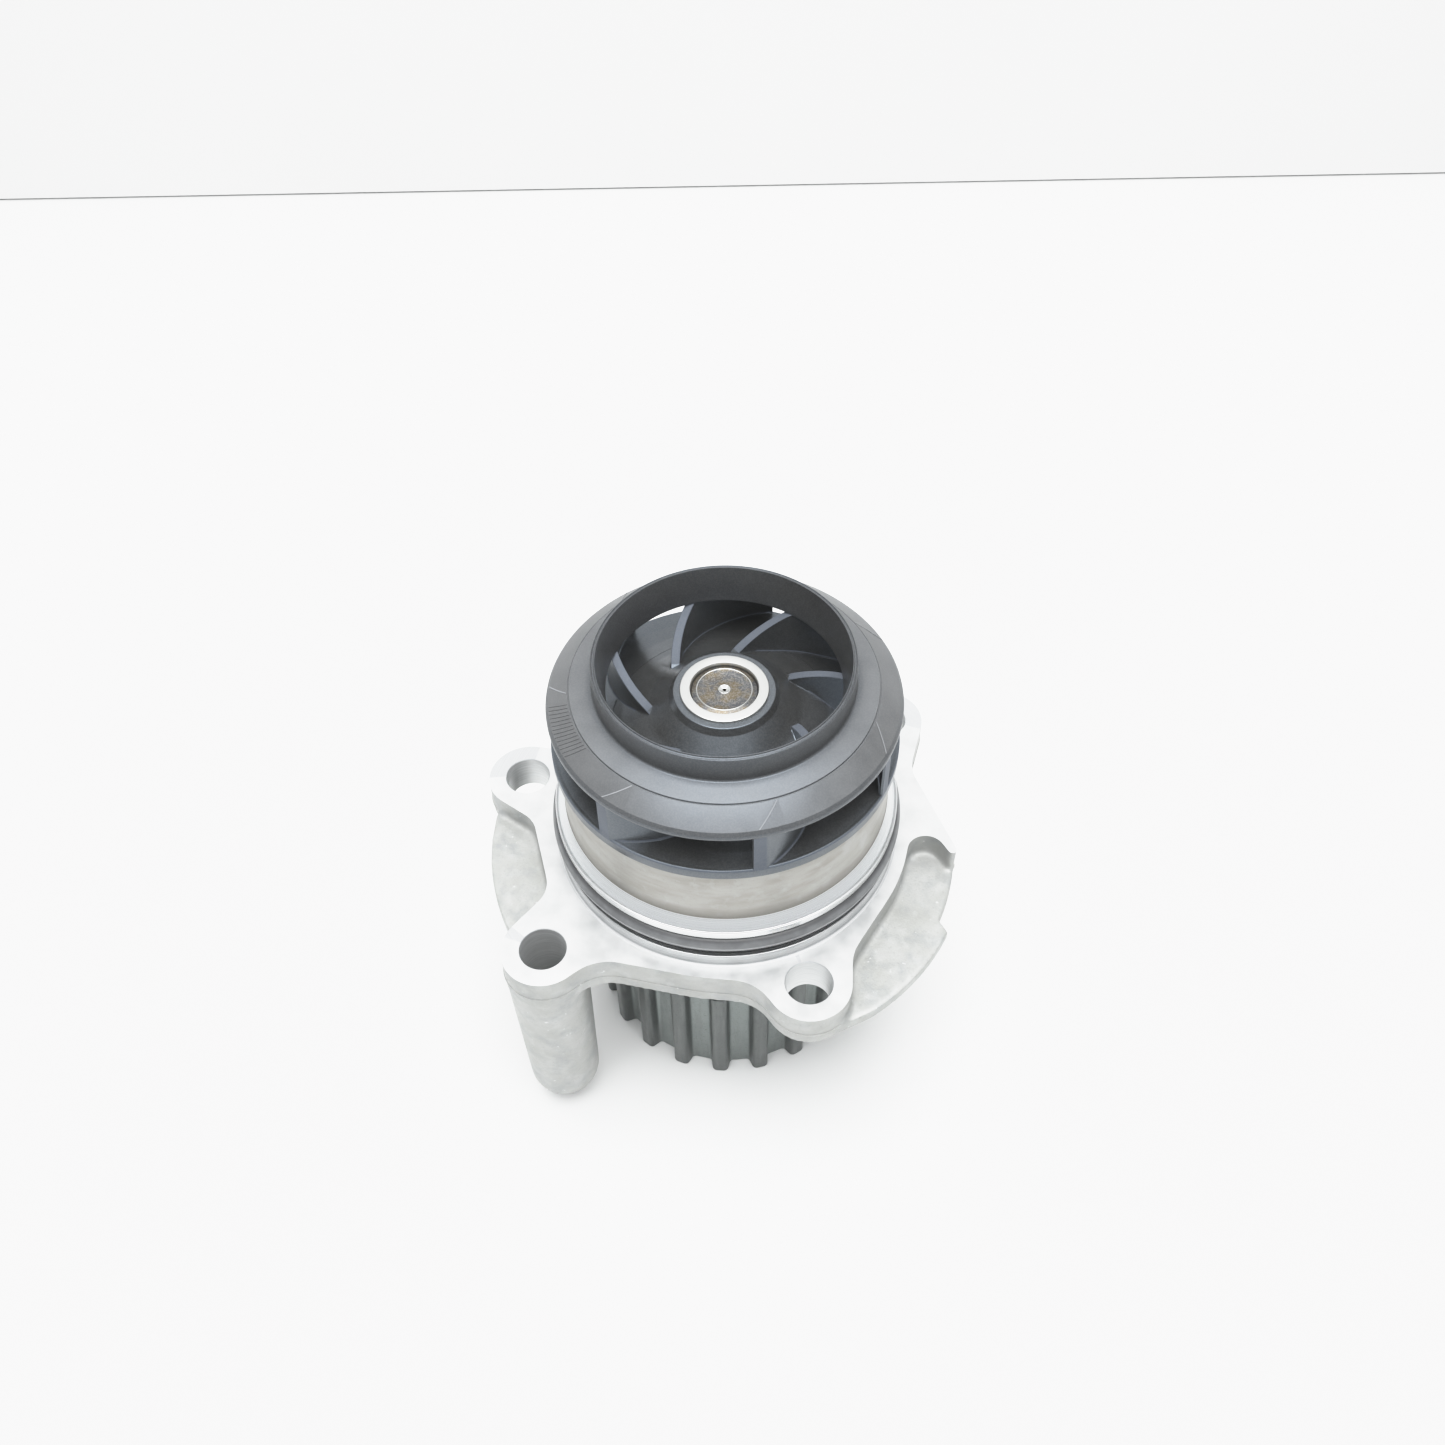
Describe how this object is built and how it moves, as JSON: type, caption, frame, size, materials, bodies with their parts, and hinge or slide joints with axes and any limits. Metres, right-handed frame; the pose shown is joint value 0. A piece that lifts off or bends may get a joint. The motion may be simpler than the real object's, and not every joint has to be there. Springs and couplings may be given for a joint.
{
  "type": "water pump",
  "caption": "Engine coolant pump: cast flanged housing with O-ring spigot, shrouded plastic impeller with inlet collar, shaft bearing and toothed belt pulley.",
  "frame": {"origin": "on the shaft axis, in the plane of the flange's machined mounting face", "axes": "+Z along the shaft towards the impeller; the blind bolt ear and its pillar are towards -X and -Y"},
  "size_m": [0.0995, 0.0862, 0.1058],
  "materials": {
    "cast_housing": "die-cast, with turned and milled faces",
    "cap": "satin",
    "o_ring": "satin, lightly oiled",
    "bearing_steel": "ground and polished",
    "seal_rubber": "matte",
    "cage": "moulded",
    "seal_cup": "pressed",
    "spring_steel": "drawn wire and pressed sheet",
    "carbon": "lapped face",
    "shaft_steel": "ground, heat-tinted at its end",
    "silicon_carbide": "lapped",
    "insert_steel": "turned",
    "impeller_plastic": "moulded, satin",
    "sintered_steel": "sintered, steam-blackened"
  },
  "bodies": {
    "pump_body": {"housing": "cast_housing", "weep_hole_cap": "cap", "pilot_o_ring": "o_ring", "bearing_outer_ring": "bearing_steel", "bearing_seal_impeller_side": "seal_rubber", "bearing_seal_pulley_side": "seal_rubber", "seal_cup": "seal_cup", "seal_bellows": "seal_rubber", "seal_spring": "spring_steel", "seal_ferrule": "spring_steel", "seal_carbon_ring": "carbon"},
    "rotor": {"shaft": "shaft_steel", "seal_mating_ring": "silicon_carbide", "seal_seat_boot": "seal_rubber", "impeller_insert": "insert_steel", "impeller_hub": "impeller_plastic", "impeller_shroud": "impeller_plastic", "pulley": "sintered_steel"},
    "ball_set": {"bearing_balls": "bearing_steel", "ball_cage": "cage"},
    "roller_set": {"bearing_rollers": "bearing_steel", "roller_cage": "cage"}
  },
  "joints": [
    {"name": "shaft_spin", "type": "hinge", "parent": "pump_body", "child": "rotor", "pos_m": [0, 0, 0], "axis": [0, 0, 1], "continuous": true},
    {"name": "ball_orbit", "type": "hinge", "parent": "pump_body", "child": "ball_set", "pos_m": [0, 0, -0.0145], "axis": [0, 0, 1], "continuous": true},
    {"name": "roller_orbit", "type": "hinge", "parent": "pump_body", "child": "roller_set", "pos_m": [0, 0, -0.032], "axis": [0, 0, 1], "continuous": true}
  ],
  "couplings": [
    {"joint": "ball_orbit", "follows": "shaft_spin", "ratio": 0.3671},
    {"joint": "roller_orbit", "follows": "shaft_spin", "ratio": 0.3807}
  ]
}
